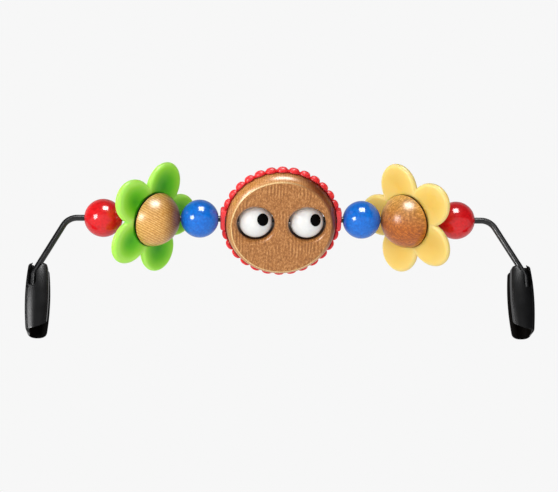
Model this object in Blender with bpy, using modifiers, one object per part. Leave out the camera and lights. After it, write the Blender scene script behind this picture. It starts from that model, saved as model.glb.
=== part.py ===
"""Toy bar for a baby bouncer: a bent steel wire with two snap clips, carrying wooden beads,
two flowers and a round wooden face that all spin on the wire.

Metres. X runs along the bar, Z along the side tubes that the clips grip, and -Y is the side
that the child sees. The origin lies midway between the two clips' tube channels.
"""

from math import acos, asin, cos, degrees, hypot, pi, radians, sin, sqrt, tan

import bmesh
import bpy
from mathutils import Matrix, Vector

# Clearances and cutting allowances
GAP = 0.0003            # running and seating gap between neighbouring pieces
OVERRUN = 0.002         # how far a cutter runs past what it cuts
MERGE = 0.00001         # distance under which doubled points are welded

# Steel wire, from the level bar down two slanted arms into the clips
WIRE_RADIUS = 0.0024
BAR_SPARE = 0.0125      # level bar beyond the outer beads, to where an arm would meet it
ARM_REACH = 0.0249      # how much further out the wire's upright ends stand
WIRE_BEND = 0.012       # centre-line radius of the bends from the bar to the arms
WIRE_END_BEND = 0.007   # the same where an arm turns upright in its clip
SOCKET_DEPTH = 0.022    # how far the wire goes into a clip below its slot

# Snap clips
CLIP_SHIFT = 0.0036     # from the wire's upright ends in to the clips' middles
CLIP_LENGTH = 0.0554
CLIP_DROP = 0.0664      # from the bar's height down to the clips' middle
CLIP_END_WIDTH = 0.0140
CLIP_MID_WIDTH = 0.0176
CLIP_CORNER = 0.0032    # radius of the section's corners
CLIP_NOSE = 0.0024      # radius of the rounded ends
LARGEST_CORNER = 0.45   # largest share of a side that one rounded corner may take
CHANNEL_RADIUS = 0.0055  # side tube of the bouncer, about 11 mm
FRONT_WALL = 0.0076     # wall that holds the wire's end
BACK_WALL = 0.0024
MOUTH_WIDTH = 0.0084    # narrower than the tube, so the arms snap over it
MOUTH_STRAIGHT = 0.0062  # from the channel's middle to where the lips start to open
MOUTH_FLARE = 0.0020    # how much each lip opens outwards
PANEL_PROUD = 0.0010    # raised panel on the front wall
PANEL_STEP = 0.0022     # band left beside the panel on the outer flank
PANEL_EDGE = 0.0006     # band left beside the panel on the mouth side
WIRE_SLOT_DEPTH = 0.0190
WIRE_SLOT_PLAY = 0.0006  # air on each side of the wire in its slot
WIRE_SLOT_FLARE = 0.0010  # further air on each side at the slot's open top
BEND_RISE = 0.0112      # from the slot's lower end up to where an arm and an upright end meet
LEAD_IN = 0.0055        # rise of the front wall's slanted lower edge at the mouth

# Round beads
BEAD_RADIUS = 0.0150
BEAD_BORE = WIRE_RADIUS + GAP
BORE_EASE = 0.0007      # rounded entry of each bore
BLUE_PLAY = 0.0011      # room between the face's side pad and a blue bead
RED_PLAY = 0.0013       # room between a flower's ball and a red bead

# Flowers: a wooden ball in two halves with a moulded ring of petals between them
FLOWER_PLAY = 0.0002    # room between a blue bead and a flower's ball
BALL_RADIUS = 0.0219
FLOWER_TURN = 45.0      # degrees between the bar's front and a flower's face
PETAL_COUNT = 5
PETAL_STANDOFF = 0.0050  # from the ball's surface out to a petal's middle
PETAL_CENTRE = BALL_RADIUS + PETAL_STANDOFF
PETAL_HALF_LENGTH = 0.0191
PETAL_HALF_WIDTH = 0.0170
PETAL_RIM = 0.0026      # radius of the petals' rounded rim
PETAL_DISH_FRONT = 0.0009   # half thickness left in the dished front
PETAL_DISH_BACK = 0.0021
WEB_THICKNESS = 0.0030
WEB_HOLE_SHARE = 0.365  # of the ball's radius
WEB_HOLE = BALL_RADIUS * WEB_HOLE_SHARE
FLOWER_SPINS = {"green": 42.6, "yellow": 41.6}   # degrees that each face is spun downwards
PETAL_PHASES = {"green": -8.0, "yellow": 185.0}  # degrees from the face's own horizontal
FLOWER_DOWEL_RADIUS = 0.0025
FLOWER_DOWEL_HALF_SHARE = 0.41    # of the ball's radius
FLOWER_DOWEL_PLACE_SHARE = 0.594
FLOWER_DOWEL_HALF = BALL_RADIUS * FLOWER_DOWEL_HALF_SHARE
FLOWER_DOWEL_PLACE = BALL_RADIUS * FLOWER_DOWEL_PLACE_SHARE

# Face: two wooden halves with a scalloped soft ring between them
FACE_RADIUS = 0.04335
FACE_HALF_THICKNESS = 0.0110
FACE_OFFSET = 0.0022    # how far the wire passes above the disc's middle
FACE_ROUND = 0.0086     # radius of the rounded edge
FACE_CREASE = 58.0      # degrees where the rounded edge starts, so it leaves the flat at a crease
FACE_SPIN = 49.0        # degrees that the face is spun downwards
RING_WEB = 0.0024
RING_INNER_SHARE = 0.8535   # of the disc's radius
RING_INNER = FACE_RADIUS * RING_INNER_SHARE
BUMPS_PER_ARC = 13      # bumps above and again below the side pads
BUMP_RADIUS = 0.0043
BUMP_POWER = 2.3        # 2 makes the bumps round, more makes them fuller
BUMP_DEPTH_SHARE = 0.86  # of the bumps' radius, towards the child and away
RING_GROOVE = 0.0009    # groove that shows between the disc and the bumps
BUMP_VALLEY = 0.0016    # half thickness between two bumps
PAD_PROUD = 0.00445     # how far the side pads' outer faces stand out from the disc
PAD_X = FACE_RADIUS + PAD_PROUD
PAD_HALF_HEIGHT = 0.0086
PAD_HALF_THICKNESS = 0.0046
PAD_CROWN_SHARE = 0.8   # share of the pads' thickness left at their rounded outer face
FACE_DOWEL_RADIUS = 0.0030
FACE_DOWEL_HALF = 0.0080
FACE_DOWEL_PLACE_SHARE = 0.623    # of the disc's radius
FACE_DOWEL_PLACE = FACE_RADIUS * FACE_DOWEL_PLACE_SHARE

# Eyes: white balls that spin on the wire inside two round windows of the face
EYE_PLACE_SHARE = 0.466     # of the disc's radius, from the middle to an eye's middle
EYE_SHARE = 0.3137          # of the disc's radius
EYE_X = FACE_RADIUS * EYE_PLACE_SHARE
EYE_RADIUS = FACE_RADIUS * EYE_SHARE
EYE_HANG = 0.0008       # the balls' wide bores let them hang this much low
EYE_AIR = 0.0012        # air round the balls in their windows
EYE_WINDOW = EYE_RADIUS + EYE_AIR
WINDOW_LIP = 0.0030     # slanted edge of the windows
EYE_SPIN = 21.0         # degrees that the pupils are spun downwards
PUPIL_SHARE = 0.3603    # of the ball's radius
PUPIL_RADIUS = EYE_RADIUS * PUPIL_SHARE
PUPIL_DEPTH = 0.0018
PUPIL_TURNS = {"left": 25.0, "right": 29.5}      # degrees that each pupil looks to +X

# Facet counts
BALL_STEPS = 20
BORE_STEPS = 16
FACE_STEPS = 44
SECTIONS_PER_PETAL = 10
SECTIONS_PER_BUMP = 4
SECTIONS_PER_PAD = 5
BEND_FACET = 12.0       # degrees between two points of a bend

# Places that follow from the sizes above
BLUE_X = PAD_X + BLUE_PLAY + BEAD_RADIUS
FLOWER_X = BLUE_X + BEAD_RADIUS + FLOWER_PLAY + BALL_RADIUS
RED_X = FLOWER_X + BALL_RADIUS + RED_PLAY + BEAD_RADIUS
BAR_HALF = RED_X + BEAD_RADIUS + BAR_SPARE
ARM_DROP = CLIP_DROP - CLIP_LENGTH / 2 + WIRE_SLOT_DEPTH - BEND_RISE
WIRE_END_X = BAR_HALF + ARM_REACH
CLIP_X = WIRE_END_X - CLIP_SHIFT
BAR_Y = -(CHANNEL_RADIUS + FRONT_WALL / 2)
BAR_Z = CLIP_DROP
FACE_SEAT = RING_WEB / 2 + GAP
BALL_SEAT = WEB_THICKNESS / 2 + GAP
EYE_BORE = WIRE_RADIUS + EYE_HANG + GAP

PART_NAME = "bouncer_toy_bar"


def srgb(hex_colour):
    """Linear RGBA of an sRGB hex colour."""
    channels = [int(hex_colour[i:i + 2], 16) / 255 for i in (0, 2, 4)]
    linear = [c / 12.92 if c <= 0.04045 else ((c + 0.055) / 1.055) ** 2.4 for c in channels]
    return (*linear, 1.0)


def make_material(name, hex_colour, roughness, metallic=0.0):
    material = bpy.data.materials.new(name)
    material.use_nodes = True
    material.diffuse_color = srgb(hex_colour)
    shader = material.node_tree.nodes["Principled BSDF"]
    shader.inputs["Base Color"].default_value = srgb(hex_colour)
    shader.inputs["Roughness"].default_value = roughness
    shader.inputs["Metallic"].default_value = metallic
    return material


def add_object(name, mesh, material, collection, parent=None, location=(0, 0, 0),
               rotation=(0, 0, 0)):
    """A named object in the collection, placed by its location, rotation and parent."""
    thing = bpy.data.objects.new(name, mesh)
    collection.objects.link(thing)
    thing.parent = parent
    thing.location = location
    thing.rotation_euler = rotation
    if material is not None and not mesh.materials:
        mesh.materials.append(material)
    if mesh.polygons:
        mesh.shade_smooth()
        mesh.set_sharp_from_angle(angle=radians(35))
    return thing


def add_spindle(name, x, spin, collection, drop=0.0):
    """An empty on the wire's axis at x, turned so that -Y looks down by the spin in degrees."""
    empty = bpy.data.objects.new(name, None)
    collection.objects.link(empty)
    empty.empty_display_size = WIRE_RADIUS
    empty.location = (x, BAR_Y, BAR_Z - drop)
    empty.rotation_euler = (radians(spin), 0, 0)
    return empty


def facing(turn):
    """Rotation that points a shape's own Z at the front, turned towards +X by the degrees."""
    return (radians(90), 0, radians(turn))


def arc(radius, start, end, count, centre=(0, 0)):
    """Points on an arc from one angle to another, in degrees from the first axis."""
    angles = [radians(start + (end - start) * i / count) for i in range(count + 1)]
    return [(centre[0] + radius * cos(a), centre[1] + radius * sin(a)) for a in angles]


def add_turned(name, profile, steps, closed, material, collection, **place):
    """Profile of (radius, height) points, top to bottom, screwed once round Z."""
    mesh = bpy.data.meshes.new(name)
    edges = [(i, i + 1) for i in range(len(profile) - 1)]
    if closed:
        edges.append((len(profile) - 1, 0))
    mesh.from_pydata([(r, 0, h) for r, h in profile], edges, [])
    thing = add_object(name, mesh, material, collection, **place)
    screw = thing.modifiers.new("Turn", "SCREW")
    screw.axis = "Z"
    screw.steps = steps
    screw.render_steps = steps
    screw.use_merge_vertices = True
    screw.merge_threshold = MERGE
    screw.use_smooth_shade = True
    return thing


def loft(sections, ring):
    """Mesh through closed sections of equal point counts; a ring of sections joins its ends."""
    count = len(sections[0])
    points = [p for section in sections for p in section]
    faces = []
    spans = len(sections) if ring else len(sections) - 1
    for s in range(spans):
        near = s * count
        far = (s + 1) % len(sections) * count
        for i in range(count):
            j = (i + 1) % count
            faces.append((near + i, near + j, far + j, far + i))
    if not ring:
        faces.append(tuple(reversed(range(count))))
        faces.append(tuple(range(len(points) - count, len(points))))
    mesh = bpy.data.meshes.new("loft")
    mesh.from_pydata(points, [], faces)
    solid = bmesh.new()
    solid.from_mesh(mesh)
    bmesh.ops.recalc_face_normals(solid, faces=solid.faces)
    solid.to_mesh(mesh)
    solid.free()
    return mesh


def cylinder_mesh(radius, half, steps=BORE_STEPS, centres=((0, 0),)):
    """Cylinders along Z of one half length, one at each (x, y) centre."""
    solid = bmesh.new()
    for x, y in centres:
        bmesh.ops.create_cone(solid, cap_ends=True, segments=steps, radius1=radius,
                              radius2=radius, depth=2 * half,
                              matrix=Matrix.Translation((x, y, 0)))
    mesh = bpy.data.meshes.new("cylinder")
    solid.to_mesh(mesh)
    solid.free()
    return mesh


def hide_cutter(cutter):
    cutter.hide_render = True
    cutter.display_type = "WIRE"
    return cutter


def add_cutter(name, mesh, cutters, **place):
    return hide_cutter(add_object(name, mesh, None, cutters, **place))


def boolean(thing, other, operation="DIFFERENCE"):
    step = thing.modifiers.new(operation.title(), "BOOLEAN")
    step.operation = operation
    step.solver = "EXACT"
    step.object = other


def wire_path():
    """Centre line of the wire in the X-Z plane, from its left end to its right end."""
    socket_end = CLIP_DROP - CLIP_LENGTH / 2 + WIRE_SLOT_DEPTH + SOCKET_DEPTH
    half = [Vector((0, 0)), Vector((BAR_HALF, 0)), Vector((WIRE_END_X, -ARM_DROP)),
            Vector((WIRE_END_X, -socket_end))]
    right = [half[0]]
    for before, corner, after, bend in zip(half, half[1:], half[2:], (WIRE_BEND, WIRE_END_BEND)):
        right.extend(rounded_corner(before, corner, after, bend))
    right.append(half[-1])
    left = [Vector((-p.x, p.y)) for p in reversed(right[1:])]
    return left + right


def rounded_corner(before, corner, after, radius):
    """Points of the arc that rounds a corner between two straight runs."""
    into = (corner - before).normalized()
    out = (after - corner).normalized()
    turn = acos(max(-1.0, min(1.0, into.dot(out))))
    reach = radius * tan(turn / 2)
    start = corner - into * reach
    side = Vector((-into.y, into.x))
    if side.dot(out) < 0:
        side = -side
    centre = start + side * radius
    steps = max(2, round(turn / radians(BEND_FACET)))
    points = []
    for i in range(steps + 1):
        angle = turn * i / steps
        points.append(centre - side * (radius * cos(angle)) + into * (radius * sin(angle)))
    return points


def add_wire(parts, steel):
    curve = bpy.data.curves.new("wire", "CURVE")
    curve.dimensions = "3D"
    curve.bevel_depth = WIRE_RADIUS
    curve.bevel_resolution = 3
    curve.use_fill_caps = True
    path = wire_path()
    spline = curve.splines.new("POLY")
    spline.points.add(len(path) - 1)
    for point, place in zip(spline.points, path):
        point.co = (place.x, 0, place.y, 1)
    curve.materials.append(steel)
    wire = bpy.data.objects.new("wire", curve)
    wire.location = (0, BAR_Y, BAR_Z)
    parts.objects.link(wire)


def clip_half_width(height):
    """Half width of a clip at a height above its middle: barrel shaped."""
    share = height / (CLIP_LENGTH / 2)
    return (CLIP_MID_WIDTH - (CLIP_MID_WIDTH - CLIP_END_WIDTH) * share ** 2) / 2


def rounded_section(low, high, corner, height, points_per_corner=3):
    """Rectangle with round corners, as points at one height."""
    corner = min(corner, LARGEST_CORNER * (high[0] - low[0]), LARGEST_CORNER * (high[1] - low[1]))
    middles = ((high[0] - corner, high[1] - corner, 0), (low[0] + corner, high[1] - corner, 90),
               (low[0] + corner, low[1] + corner, 180), (high[0] - corner, low[1] + corner, 270))
    section = []
    for x, y, start in middles:
        section.extend(arc(corner, start, start + 90, points_per_corner, (x, y)))
    return [(x, y, height) for x, y in section]


def clip_body_mesh():
    """Barrel-shaped block round the channel, lofted along Z with rounded ends."""
    front = -(CHANNEL_RADIUS + FRONT_WALL)
    back = CHANNEL_RADIUS + BACK_WALL
    half = CLIP_LENGTH / 2
    sections = []
    for height, inset in end_rounded_heights(half, CLIP_NOSE):
        width = clip_half_width(height) - inset
        sections.append(rounded_section((-width, front + inset), (width, back - inset),
                                        CLIP_CORNER, height))
    return loft(sections, ring=False)


def clip_panel_mesh(side):
    """Raised panel on the front wall, narrower than the body on its outer flank."""
    front = -(CHANNEL_RADIUS + FRONT_WALL)
    half = CLIP_LENGTH / 2 - CLIP_NOSE
    sections = []
    for height, inset in end_rounded_heights(half, PANEL_PROUD):
        width = clip_half_width(height) - inset
        outer = side * (width - PANEL_STEP)
        inner = -side * (width - PANEL_EDGE)
        low = (min(outer, inner), front - PANEL_PROUD + inset)
        high = (max(outer, inner), front + CLIP_CORNER)
        sections.append(rounded_section(low, high, PANEL_PROUD, height))
    return loft(sections, ring=False)


def end_rounded_heights(half, radius, middle_steps=4, end_steps=2):
    """Heights from bottom to top with the inset that rounds each end."""
    ends = []
    for i in range(end_steps):
        angle = radians(90) * i / end_steps
        ends.append((half - radius + radius * cos(angle), radius - radius * sin(angle)))
    straight = half - radius
    middle = [(straight * (1 - 2 * i / middle_steps), 0) for i in range(middle_steps + 1)]
    top_down = ends + middle
    bottom = [(-height, inset) for height, inset in reversed(ends)]
    return list(reversed(top_down + bottom))


def wire_slot_mesh(side):
    """Cutter for the wire's slot, from the front face through to the tube's channel."""
    width = WIRE_RADIUS + WIRE_SLOT_PLAY
    x = side * (WIRE_END_X - CLIP_X)
    top = CLIP_LENGTH / 2
    low = top - WIRE_SLOT_DEPTH
    bend = CLIP_DROP - ARM_DROP
    lean = (WIRE_END_X - BAR_HALF) / ARM_DROP
    rise = max(top, bend) + OVERRUN - bend
    slant = -side * lean
    flare = width * sqrt(1 + lean ** 2) + WIRE_SLOT_FLARE
    outline = [(x - width, low + width), (x - width, bend), (x - flare + slant * rise, bend + rise),
               (x + flare + slant * rise, bend + rise), (x + width, bend), (x + width, low + width)]
    outline += arc(width, -30, -150, 4, (x, low + width))
    near = -(CHANNEL_RADIUS + FRONT_WALL + PANEL_PROUD + OVERRUN)
    sections = [[(px, near, pz) for px, pz in outline],
                [(px, 0, pz) for px, pz in outline]]
    return loft(sections, ring=False)


def mouth_mesh(side):
    """Cutter for the mouth: parallel between the arms, then flared at the lips."""
    reach = CLIP_MID_WIDTH / 2 + OVERRUN
    narrow = MOUTH_WIDTH / 2
    wide = narrow + MOUTH_FLARE
    outline = [(0, -narrow), (-side * MOUTH_STRAIGHT, -narrow), (-side * reach, -wide),
               (-side * reach, wide), (-side * MOUTH_STRAIGHT, narrow), (0, narrow)]
    half = CLIP_LENGTH / 2 + OVERRUN
    sections = [[(x, y, -half) for x, y in outline], [(x, y, half) for x, y in outline]]
    return loft(sections, ring=False)


def lead_in_mesh(side):
    """Wedge under the front wall, cut higher towards the mouth."""
    reach = CLIP_END_WIDTH / 2
    bottom = -CLIP_LENGTH / 2
    outline = [(side * reach, bottom), (-side * reach, bottom + LEAD_IN),
               (-side * (reach + OVERRUN), bottom + LEAD_IN),
               (-side * (reach + OVERRUN), bottom - OVERRUN), (side * reach, bottom - OVERRUN)]
    near = -(CHANNEL_RADIUS + FRONT_WALL + PANEL_PROUD + OVERRUN)
    sections = [[(x, near, z) for x, z in outline], [(x, 0, z) for x, z in outline]]
    return loft(sections, ring=False)


def add_clip(side_name, side, parts, cutters, plastic):
    """Snap clip at one end of the wire; side is -1 on the left and 1 on the right."""
    name = "clip_" + side_name
    place = {"location": (side * CLIP_X, 0, 0)}
    clip = add_object(name, clip_body_mesh(), plastic, parts, **place)
    panel = add_cutter(name + "_panel", clip_panel_mesh(side), cutters, **place)
    channel = add_cutter(name + "_channel", cylinder_mesh(CHANNEL_RADIUS, CLIP_LENGTH, BALL_STEPS),
                         cutters, **place)
    mouth = add_cutter(name + "_mouth", mouth_mesh(side), cutters, **place)
    slot = add_cutter(name + "_wire_slot", wire_slot_mesh(side), cutters, **place)
    lead_in = add_cutter(name + "_lead_in", lead_in_mesh(side), cutters, **place)
    socket_half = (WIRE_SLOT_DEPTH + SOCKET_DEPTH + GAP) / 2
    socket = add_cutter(name + "_socket", cylinder_mesh(WIRE_RADIUS + GAP, socket_half), cutters,
                        location=(side * WIRE_END_X, BAR_Y, CLIP_LENGTH / 2 - socket_half))
    boolean(clip, panel, "UNION")
    for cutter in (channel, mouth, slot, lead_in, socket):
        boolean(clip, cutter)


def bored_ball_profile(radius, bore, ease, count=8):
    """Closed profile of a ball bored along Z, with eased bore mouths."""
    edge = degrees(acos((bore + ease) / radius))
    outside = arc(radius, edge, -edge, count)
    low = outside[-1][1]
    return outside + [(bore, low + ease), (bore, -low - ease)]


def add_bead(name, x, parts, paint):
    profile = bored_ball_profile(BEAD_RADIUS, BEAD_BORE, BORE_EASE)
    add_turned(name, profile, BALL_STEPS, True, paint, parts,
               location=(x, BAR_Y, BAR_Z), rotation=(0, radians(90), 0))


def add_dowels(name, radius, half, centres, wood, parts, **place):
    """One glued wooden dowel at each centre, across the joint of two halves."""
    for end, centre in zip(("upper", "lower"), centres):
        mesh = cylinder_mesh(radius, half, centres=(centre,))
        add_object(name + "_dowel_" + end, mesh, wood, parts, **place)


def petal_share(radius, angle):
    """Where a point lies in its petal: 0 at the petal's middle and 1 on its edge."""
    along = (radius * cos(angle) - PETAL_CENTRE) / PETAL_HALF_LENGTH
    across = radius * sin(angle) / PETAL_HALF_WIDTH
    return hypot(along, across)


def petal_reach(angle):
    """Outer radius of the flower at an angle from a petal's middle line."""
    a = (cos(angle) / PETAL_HALF_LENGTH) ** 2 + (sin(angle) / PETAL_HALF_WIDTH) ** 2
    b = -2 * cos(angle) * PETAL_CENTRE / PETAL_HALF_LENGTH ** 2
    c = (PETAL_CENTRE / PETAL_HALF_LENGTH) ** 2 - 1
    return (-b + sqrt(max(b * b - 4 * a * c, 0))) / (2 * a)


def petal_height(share, dish):
    """Half thickness of a petal: dished in the middle, with a round rim at its edge."""
    crest = 1 - PETAL_RIM / PETAL_HALF_WIDTH
    if share < crest:
        return dish + (PETAL_RIM - dish) * (1 - cos(pi * share / crest)) / 2
    return PETAL_RIM * sqrt(max(1 - ((share - crest) / (1 - crest)) ** 2, 0))


def petal_section(angle, local_angle, count=4):
    """Closed section of the moulding on one ray: flat web, step, petal, rim and back."""
    step = BALL_RADIUS + GAP
    reach = petal_reach(local_angle)
    radii = [step + (reach - step) * sin(pi / 2 * i / count) for i in range(count + 1)]
    web = WEB_THICKNESS / 2
    front = [(r, petal_height(petal_share(r, local_angle), PETAL_DISH_FRONT)) for r in radii]
    back = [(r, -petal_height(petal_share(r, local_angle), PETAL_DISH_BACK)) for r in radii]
    front[-1] = (reach, 0)
    profile = [(WEB_HOLE, -web), (WEB_HOLE, web), (step, web)] + front
    profile += list(reversed(back[:-1])) + [(step, -web)]
    return [(r * cos(angle), r * sin(angle), z) for r, z in profile]


def petal_mesh(phase):
    pitch = 2 * pi / PETAL_COUNT
    total = PETAL_COUNT * SECTIONS_PER_PETAL
    sections = []
    for i in range(total):
        local = (i % SECTIONS_PER_PETAL) / SECTIONS_PER_PETAL * pitch
        if local > pitch / 2:
            local -= pitch
        sections.append(petal_section(radians(phase) + i * pitch / SECTIONS_PER_PETAL, local))
    return loft(sections, ring=True)


def half_ball_profile(count=6):
    """Half of the flower's ball, with a boss that fills the hole of the petals' web."""
    edge = degrees(asin(BALL_SEAT / BALL_RADIUS))
    outside = arc(BALL_RADIUS, 90, edge, count)
    outside[0] = (0, BALL_RADIUS)
    boss = WEB_HOLE - GAP
    return outside + [(boss, BALL_SEAT), (boss, GAP / 2), (0, GAP / 2)]


def add_flower(colour, side, parts, cutters, wood, soft, dowel_wood):
    """One flower on the wire: two half balls, the petals between them and two dowels."""
    name = "flower_" + colour
    spindle = add_spindle(name + "_axis", side * FLOWER_X, FLOWER_SPINS[colour], parts)
    face = {"parent": spindle, "rotation": facing(-side * FLOWER_TURN)}
    back_face = {"parent": spindle, "rotation": facing(180 - side * FLOWER_TURN)}
    dowel_places = [(0, FLOWER_DOWEL_PLACE), (0, -FLOWER_DOWEL_PLACE)]
    bore = add_cutter(name + "_bore", cylinder_mesh(BEAD_BORE, BALL_RADIUS + OVERRUN), cutters,
                      parent=spindle, rotation=(0, radians(90), 0))
    holes = add_cutter(name + "_dowel_holes",
                       cylinder_mesh(FLOWER_DOWEL_RADIUS + GAP, FLOWER_DOWEL_HALF + GAP,
                                     centres=dowel_places), cutters, **face)
    front = add_turned(name + "_ball_front", half_ball_profile(), BALL_STEPS, False, wood, parts,
                       **face)
    back = add_turned(name + "_ball_back", half_ball_profile(), BALL_STEPS, False, wood, parts,
                      **back_face)
    petals = add_object(name + "_petals", petal_mesh(PETAL_PHASES[colour]), soft, parts, **face)
    add_dowels(name, FLOWER_DOWEL_RADIUS, FLOWER_DOWEL_HALF, dowel_places, dowel_wood, parts,
               **face)
    for half in (front, back):
        boolean(half, bore)
        boolean(half, holes)
    boolean(petals, holes)


def face_half_profile():
    """Half of the wooden face from its middle plane out, with a rebate for the ring's web."""
    flat = FACE_RADIUS - FACE_ROUND
    level = FACE_HALF_THICKNESS - FACE_ROUND * sin(radians(FACE_CREASE))
    rim = arc(FACE_ROUND, FACE_CREASE, 0, 4, (flat, level))
    rebate = RING_INNER - GAP
    return ([(0, FACE_HALF_THICKNESS)] + rim
            + [(FACE_RADIUS, FACE_SEAT), (rebate, FACE_SEAT), (rebate, GAP / 2), (0, GAP / 2)])


def ring_section(angle, outer):
    """Closed section of the soft ring on one ray: web and step, then the given outer points."""
    web = RING_WEB / 2
    step = FACE_RADIUS + RING_GROOVE
    profile = [(RING_INNER, -web), (RING_INNER, web), (step, web)] + outer + [(step, -web)]
    return [(r * cos(angle), r * sin(angle), z) for r, z in profile]


def bump_section(angle, share):
    """Section through a bump, where the share runs from 0 to 1 across its pitch."""
    across = abs(share - 0.5) * 2
    half = max(BUMP_RADIUS * (1 - across ** BUMP_POWER) ** (1 / BUMP_POWER), BUMP_VALLEY)
    lift = degrees(acos(RING_GROOVE / half))
    outer = [(r, z * BUMP_DEPTH_SHARE) for r, z in arc(half, lift, -lift, 4, (FACE_RADIUS, 0))]
    return ring_section(angle, outer)


def pad_section(angle):
    """Section through a side pad, whose outer face is square to the wire."""
    reach = PAD_X / abs(cos(angle))
    crown = PAD_HALF_THICKNESS * PAD_CROWN_SHARE
    step = FACE_RADIUS + RING_GROOVE
    outer = [(step, PAD_HALF_THICKNESS), (reach - GAP, crown), (reach, 0), (reach - GAP, -crown),
             (step, -PAD_HALF_THICKNESS)]
    return ring_section(angle, outer)


def bump_arc(start, end):
    """Sections of one arc of bumps, with a valley at both ends."""
    pitch = (end - start) / BUMPS_PER_ARC
    step = pitch / SECTIONS_PER_BUMP
    places = range(BUMPS_PER_ARC * SECTIONS_PER_BUMP + 1)
    return [bump_section(start + i * step, i % SECTIONS_PER_BUMP / SECTIONS_PER_BUMP)
            for i in places]


def pad_arc(start, end):
    """Sections of one side pad, between the two valleys beside it."""
    step = (end - start) / (SECTIONS_PER_PAD + 1)
    return [pad_section(start + (i + 1) * step) for i in range(SECTIONS_PER_PAD)]


def ring_mesh():
    """Soft ring: two arcs of bumps and two side pads where the wire comes through."""
    low = asin((FACE_OFFSET - PAD_HALF_HEIGHT) / FACE_RADIUS)
    high = asin((FACE_OFFSET + PAD_HALF_HEIGHT) / FACE_RADIUS)
    sections = pad_arc(low, high) + bump_arc(high, pi - high)
    sections += pad_arc(pi - high, pi - low) + bump_arc(pi - low, 2 * pi + low)
    return loft(sections, ring=True)


def window_profile():
    """Cutter of a round window through both halves, with slanted lips at both faces."""
    wide = EYE_WINDOW + WINDOW_LIP + OVERRUN
    far = FACE_HALF_THICKNESS + OVERRUN
    near = FACE_HALF_THICKNESS - WINDOW_LIP
    return [(0, far), (wide, far), (EYE_WINDOW, near), (EYE_WINDOW, -near), (wide, -far),
            (0, -far)]


def add_face(parts, cutters, wood, soft, dowel_wood):
    """The wooden face: two halves, the scalloped ring between them and two dowels."""
    spindle = add_spindle("face_axis", 0, FACE_SPIN, parts)
    middle = (0, 0, -FACE_OFFSET)
    face = {"parent": spindle, "location": middle, "rotation": facing(0)}
    back_face = {"parent": spindle, "location": middle, "rotation": facing(180)}
    dowel_places = [(0, FACE_DOWEL_PLACE), (0, -FACE_DOWEL_PLACE)]
    bore = add_cutter("face_bore", cylinder_mesh(BEAD_BORE, PAD_X + OVERRUN), cutters,
                      parent=spindle, rotation=(0, radians(90), 0))
    holes = add_cutter("face_dowel_holes",
                       cylinder_mesh(FACE_DOWEL_RADIUS + GAP, FACE_DOWEL_HALF + GAP,
                                     centres=dowel_places), cutters, **face)
    windows = [hide_cutter(add_turned("face_window", window_profile(), BALL_STEPS, False, None,
                                      cutters, parent=spindle, location=(x, 0, 0),
                                      rotation=facing(0))) for x in (-EYE_X, EYE_X)]
    front = add_turned("face_front", face_half_profile(), FACE_STEPS, False, wood, parts, **face)
    back = add_turned("face_back", face_half_profile(), FACE_STEPS, False, wood, parts,
                      **back_face)
    ring = add_object("face_ring", ring_mesh(), soft, parts, **face)
    add_dowels("face", FACE_DOWEL_RADIUS, FACE_DOWEL_HALF, dowel_places, dowel_wood, parts,
               **face)
    for half in (front, back):
        for cutter in windows + [bore, holes]:
            boolean(half, cutter)
    boolean(ring, bore)


def pupil_profile(radius, depth, proud, count=2):
    """Turned cap whose top follows the eye ball, standing on a flat base."""
    edge = degrees(acos(radius / proud))
    cap = arc(proud, 90, edge, count)
    cap[0] = (0, proud)
    base = sqrt(EYE_RADIUS ** 2 - PUPIL_RADIUS ** 2) - depth
    return cap + [(radius, base), (0, base)]


def add_eye(side_name, side, parts, cutters, white, black):
    """One eye: a bored white ball with a black pupil set flush into it."""
    name = "eye_" + side_name
    spindle = add_spindle(name + "_axis", side * EYE_X, EYE_SPIN, parts, EYE_HANG)
    look = {"parent": spindle, "rotation": facing(PUPIL_TURNS[side_name])}
    profile = bored_ball_profile(EYE_RADIUS, EYE_BORE, BORE_EASE)
    ball = add_turned(name + "_ball", profile, BALL_STEPS, True, white, parts, parent=spindle,
                      rotation=(0, radians(90), 0))
    seat_profile = pupil_profile(PUPIL_RADIUS + GAP, PUPIL_DEPTH + GAP, EYE_RADIUS + OVERRUN)
    seat = hide_cutter(add_turned(name + "_seat", seat_profile, BORE_STEPS, False, None, cutters,
                                  **look))
    boolean(ball, seat)
    add_turned("pupil_" + side_name, pupil_profile(PUPIL_RADIUS, PUPIL_DEPTH, EYE_RADIUS),
               BORE_STEPS, False, black, parts, **look)


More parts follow.
